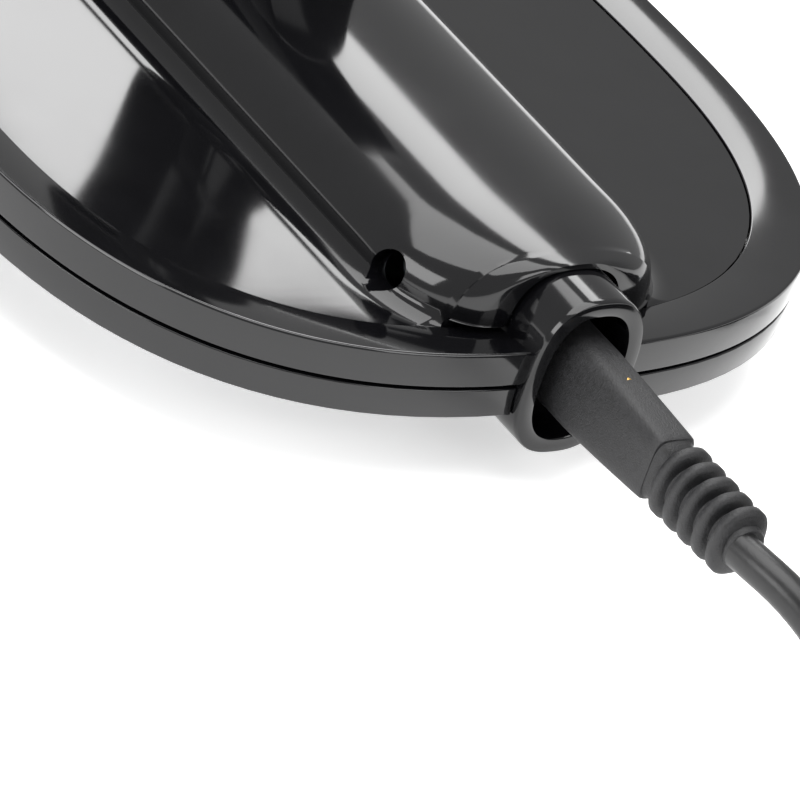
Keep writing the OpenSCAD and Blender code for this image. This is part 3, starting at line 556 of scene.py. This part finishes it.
def neck_part(x):
    return power(max(0.0, 1 - (x - SHELL_BACK) / SHOULDER_L), 2)


def ridge_half(x):
    neck = COLLAR_W / 2 + NECK_SKIN
    if x < WIDE_X:
        return neck + (RIDGE_HW - neck) * power(1 - neck_part(x), 0.5)
    return min(RIDGE_HW, max(3.0, half_width(RING_W, x) - 6))


def crown_z(x):
    t = max(0.0, min(1.0, (x - NOSE_X + NOSE_L) / NOSE_L))
    return (RIDGE_TOP - (RIDGE_TOP - SOCKET_Z - COLLAR_H / 2 - NECK_SKIN) * neck_part(x)
            - (RIDGE_TOP - DECK_Z - 3) * t * t * (3 - 2 * t))


def shell_section(x, t):
    """Right to left across the shell at x, drawn in by t."""
    rear = x < DECK_BACK
    a = ridge_half(x) - t
    foot = RIM_TOP + 0.05 if rear else DECK_Z - t
    h = crown_z(x) - t - foot
    edge = ridge_half(x) + 0.6 - t if rear else half_width(RING_W + 0.15, x)
    fillet = max(0.05, min(FILLET, edge - a))
    start = math.degrees(math.asin(power(min(0.9, 0.5 * fillet / h), RIDGE_EXP / 2)))
    half = []
    for k in range(29):
        q = math.radians(90 - (90 - start) * k / 28)
        half.append((a * power(math.cos(q), 2 / RIDGE_EXP), foot + h * power(math.sin(q), 2 / RIDGE_EXP)))
    y0, z0 = half[-1]
    for k in range(1, 9):
        q = math.radians(90 * k / 8)
        half.append((y0 + fillet * 0.98 * (1 - math.cos(q)), foot + (z0 - foot) * (1 - math.sin(q))))
    half.append((max(edge, half[-1][0] + 0.02), foot))
    return [(x, -y, z) for y, z in half[:0:-1]] + [(x, y, z) for y, z in half]


def make_body():
    near = [SHELL_BACK + 0.35 * k for k in range(9)] + [DECK_BACK + 0.05]
    middle = [DECK_BACK + 0.3 + 0.5 * 1.16 ** k for k in range(18)]
    far = [middle[-1] + (105 - middle[-1]) * (k + 1) / 84 for k in range(84)]
    xs = near + middle + far
    rings = []
    for x in xs:
        outer = shell_section(x, 0)
        inner = shell_section(x, WALL if x > BACK_X + COLLAR_L + 1 else
                              min(WALL, crown_z(x) - 31.15, ridge_half(x) - 9.55))
        rings.append(outer + inner[::-1])
    body = skinned("body_top", rings)
    cutters = [rod("hole_left", FLANK_HOLE_R, (FLANK_X, 12.5, FLANK_Z), (FLANK_X, 34, FLANK_Z)),
               rod("hole_right", FLANK_HOLE_R, (FLANK_X, -34, FLANK_Z), (FLANK_X, -12.5, FLANK_Z)),
               rod("dial_hole", 20.3, (DIAL_X, 0, 15), (DIAL_X, 0, 45), 128),
               rod("lens_hole", 4.15, (LENS_X, 0, 22), (LENS_X, 0, 45))]
    for node in ("rear_post", "front_post"):
        low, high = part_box(node)
        cutters.append(block(
            node + "_hole", ((low.x / MM) - 0.15, -9.15, 22), ((high.x / MM) + 0.15, 9.15, 45)))
    cut_by(body, *cutters)
    return smoothed(body, 38)


dress(make_body(), GLOSS, "iron", ("body_shell",))

# ------------------------------------------------------------------ rim
lower_rim = softened("lower_rim", "lower_pan", 0.45, 3)
dress(lower_rim, GLOSS, "iron", ("lower_pan",))


def make_upper_rim():
    rim = swept("upper_rim", [
        (0, RING_Z, 0.3), (0, RIM_TOP, 0.55), (RING_W - 0.05, DECK_Z + 0.25, 0.2),
        (RING_W - 0.05, 19.0, 0), (2.4, 20.2, 0), (2.4, RING_Z + 1.55, 0), (14, RING_Z + 1.55, 0),
        (14, RING_Z, 0)])
    cut_by(rim, collar_cutter())
    return smoothed(rim, 30)


dress(make_upper_rim(), GLOSS, "iron", ("rim_ring",))

# ------------------------------------------------------------------ socket and its collar
def make_collar():
    w, h, wall, front = COLLAR_W / 2, COLLAR_H / 2, COLLAR_WALL, BACK_X + COLLAR_L
    steps = [(0, 0, front), (0, 0, BACK_X + 1.2), (0.05, 0.05, BACK_X + 0.35), (0.2, 0.2, BACK_X + 0.1),
             (0.5, 0.5, BACK_X), (wall - 0.55, wall - 0.55, BACK_X), (wall - 0.2, wall - 0.2, BACK_X + 0.12),
             (wall, wall, BACK_X + 0.5), (wall, wall, BACK_X + 6), (wall, wall, front)]
    return smoothed(skinned("socket_collar", [oval(w - a, h - b, x) for a, b, x in steps], along=True), 30)


dress(make_collar(), GLOSS, "iron", ("inlet_collar",))

# ------------------------------------------------------------------ connector and strain relief
PLUG_OUT, PLUG_IN, PLUG_W, PLUG_H, TAIL_H = 21.7, 11.5, 8.0, 13.6, 10.3
PLUG_END = BACK_X - PLUG_OUT
RIBS, RIB_PITCH, FIRST_RIB, RIB_T, RIB_H, RIB_W = 5, 3.35, 3.3, 1.9, 11.6, 9.4


def sway(x):
    """The cord's weight draws the free end a little to the right."""
    return -0.9 * max(0.0, (BACK_X - x) / 40.6) ** 1.6


def make_connector():
    rings = []
    ends = [(BACK_X + PLUG_IN, 0.93, 12), (BACK_X + PLUG_IN - 0.35, 0.985, 12),
            (BACK_X + PLUG_IN - 0.9, 1, 12),
            (BACK_X - 2.8, 1, 12)]
    for x, grow, power_n in ends:
        rings.append((x, PLUG_W / 2 * grow, PLUG_H / 2 * grow, 3.2))
    for k in range(1, 13):
        t = k / 12
        x = BACK_X - 2.8 + (PLUG_END - BACK_X + 2.8) * t
        rings.append((x, (PLUG_W - 0.8 * t) / 2, (PLUG_H + (TAIL_H - PLUG_H) * t) / 2, 3.2 + 2.2 * t))
    x, w, h, e = rings[-1]
    rings[-1] = (x + 0.35, w, h, e)
    rings += [(x + 0.1, w - 0.12, h - 0.12, e), (x, w - 0.4, h - 0.4, e), (x - 0.01, w * 0.5, h * 0.5, e)]
    piece = skinned("connector_shell", [oval(w, h, x, e, 96, y=sway(x)) for x, w, h, e in rings])
    pins = [rod("pin_way", 1.26, (BACK_X + 3, 0, SOCKET_Z + s * 4.3),
                (BACK_X + PLUG_IN + 1, 0, SOCKET_Z + s * 4.3))
            for s in (-1, 1)]
    return smoothed(cut_by(piece, *pins), 40)


dress(make_connector(), GRAINED, "cord_set", ("connector_body",))


def make_relief():
    """A tapered core with five oval ribs, each with rounded edges."""
    rings = [(PLUG_END + 0.2, 3.4, 4.9, 4.2), (PLUG_END - 0.6, 3.3, 4.6, 3.4),
             (PLUG_END - 1.6, 3.2, 4.2, 2.8)]
    for k in range(RIBS):
        x, last = PLUG_END - FIRST_RIB - RIB_PITCH * k, k / (RIBS - 1)
        w, h = RIB_W / 2 - 0.15 * last, RIB_H / 2 - 0.35 * last
        core = 3.5 - 0.3 * last
        half = RIB_T / 2
        rings += [(x + half + 0.32, core, core + 0.3, 2.2), (x + half + 0.05, w - 0.75, h - 0.75, 2.3),
                  (x + half - 0.12, w - 0.3, h - 0.3, 2.3), (x + half - 0.45, w, h, 2.3),
                  (x - half + 0.45, w, h, 2.3), (x - half + 0.12, w - 0.3, h - 0.3, 2.3),
                  (x - half - 0.05, w - 0.75, h - 0.75, 2.3), (x - half - 0.32, core, core + 0.2, 2.2)]
    end = PLUG_END - FIRST_RIB - RIB_PITCH * (RIBS - 1) - 2.2
    rings += [(end + 0.4, 3.35, 3.35, 2), (end, 3.1, 3.1, 2), (end - 0.02, 2.86, 2.86, 2)]
    piece = skinned("relief_ribs", [oval(w, h, x, e, 64, y=sway(x)) for x, w, h, e in rings])
    return smoothed(piece, 50)


dress(make_relief(), GRAINED, "cord_set", ("strain_relief",))

# ------------------------------------------------------------------ cord, its tie and the mains plug
MAINS_X, MAINS_Y, MAINS_W, MAINS_H = -128.0, -87.0, 35.0, 13.8


def make_mains_plug():
    rings, z = [], MAINS_H / 2
    shape = [(0, 0.86, 0.8), (-0.5, 0.96, 0.94), (-1.4, 1, 1), (-12, 1, 1),
             (-17, 0.9, 0.98), (-22, 0.84, 0.96),
             (-27, 0.7, 0.93), (-29.4, 0.5, 0.85), (-30, 0.37, 0.78)]
    for x, w, h in shape:
        rings.append(oval(MAINS_W / 2 * w, MAINS_H / 2 * h, MAINS_X + x, 2.8, 80, z, MAINS_Y))
    for k in range(5):
        x = MAINS_X - 30.6 - 2.7 * k
        r = 5.3 - 0.35 * k
        rings += [oval(r - 1.0, r - 1.0, x, 2, 80, z, MAINS_Y), oval(r, r, x - 0.35, 2, 80, z, MAINS_Y),
                  oval(r, r, x - 1.45, 2, 80, z, MAINS_Y), oval(r - 1.0, r - 1.0, x - 1.8, 2, 80, z, MAINS_Y)]
    rings += [oval(3.1, 3.1, MAINS_X - 45.4, 2, 80, z, MAINS_Y),
              oval(2.85, 2.85, MAINS_X - 46, 2, 80, z, MAINS_Y)]
    return smoothed(skinned("plug_shell", rings), 50)


mains_plug = dress(make_mains_plug(), GRAINED, "cord_set", ("mains_plug",))
cord_tie = dress(softened("tie_band", "cord_tie", 0.25, 2), TIE, "cord_set", ("cord_tie",))
dress(mains_cord, CORD_PVC, "cord_set", ("cord_lead", "cord_coil", "cord_tail"))

# ------------------------------------------------------------------ handle, posts and dial
def soft_copy(name, node, width, finish, body, segments=3, angle=32):
    return dress(softened(name, node, width, segments, angle), finish, body, (node,))


soft_copy("handle_shell_left", "handle_left", 2.2, GLOSS, "handle", 4, 25)
soft_copy("handle_shell_right", "handle_right", 2.2, GLOSS, "handle", 4, 25)
soft_copy("grip_pad", "grip_insert", 0.7, RUBBER, "handle")
soft_copy("rear_stand", "rear_post", 0.9, GLOSS, "iron")
soft_copy("front_stand", "front_post", 0.9, GLOSS, "iron")
soft_copy("dial_base", "dial_housing", 0.6, GLOSS, "iron")
soft_copy("dial_knob", "temperature_dial", 0.35, SATIN, "dial", 2, 40)
soft_copy("lens_cap", "lamp_lens", 0.4, LENS, "iron")
soft_copy("button_cap", "release_button", 0.5, SATIN, "button")
soft_copy("sole", "soleplate", 0.8, SOLE_METAL, "iron")


def make_dial_marks():
    """A pointer line and three rows of dots for low, middle and high, raised a little."""
    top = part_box("temperature_dial")[1].z / MM
    marks = [block("pointer", (DIAL_X - 0.7, 6.5, top - 0.05), (DIAL_X + 0.7, 13.2, top + 0.18))]
    for count, turn in ((1, 100), (2, 180), (3, 260)):
        for k in range(count):
            a = math.radians(90 - turn + (k - (count - 1) / 2) * 13)
            x, y = DIAL_X + 11.2 * math.cos(a), 11.2 * math.sin(a)
            marks.append(rod("dot", 0.85, (x, y, top - 0.05), (x, y, top + 0.18), 24))
    deselect()
    for mark in marks:
        mark.select_set(True)
    bpy.context.view_layer.objects.active = marks[0]
    bpy.ops.object.join()
    marks[0].name = "dial_marks"
    return modified(marks[0], "BEVEL", width=0.08 * MM, segments=2, limit_method="ANGLE")


dress(make_dial_marks(), INK, "dial")


# ------------------------------------------------------------------ screws
def socket_screws(name, node, places, body):
    """Screws with a hexagon socket.

    Each is (end of the shank, under the head, top of the head, shank radius, head radius).
    """
    made = []
    for foot, seat, top, shank_r, head_r in places:
        foot, seat, top = Vector(foot), Vector(seat), Vector(top)
        out = (top - seat).normalized()
        head = rod("head", head_r, seat, top, 48)
        cut_by(head, rod("hex", head_r * 0.5, seat + (top - seat) * 0.35, top + out, 6))
        modified(head, "BEVEL", width=0.22 * MM, segments=3, limit_method="ANGLE",
                 angle_limit=math.radians(50))
        shank = rod("shank", shank_r, foot, seat, 32)
        made += [smoothed(head, 40), smoothed(shank, 40)]
    deselect()
    for part in made:
        part.select_set(True)
    bpy.context.view_layer.objects.active = made[0]
    bpy.ops.object.join()
    made[0].name = name
    return dress(made[0], ZINC, body, (node,))


pan_places = []
for x in (-88, 40):
    for side in (-1, 1):
        y = side * half_width(11, x)
        pan_places.append(((x, y, 19.2), (x, y, RIM_LIFT), (x, y, RIM_LIFT - 1.4), 1.5, 2.8))
socket_screws("pan_screw_set", "pan_screws", pan_places, "iron")
socket_screws("flank_screw_set", "flank_screws", [
    ((FLANK_X, side * 7, FLANK_Z), (FLANK_X, side * 16, FLANK_Z), (FLANK_X, side * 17.8, FLANK_Z), 1.8, 2.6)
    for side in (-1, 1)], "iron")
socket_screws("handle_screw_set", "handle_screws", [
    ((x, 5, z), (x, -5.5, z), (x, -7.5, z), 1.5, 2.9) for x, z in ((-26, 66), (56, 66), (15, 94))], "handle")
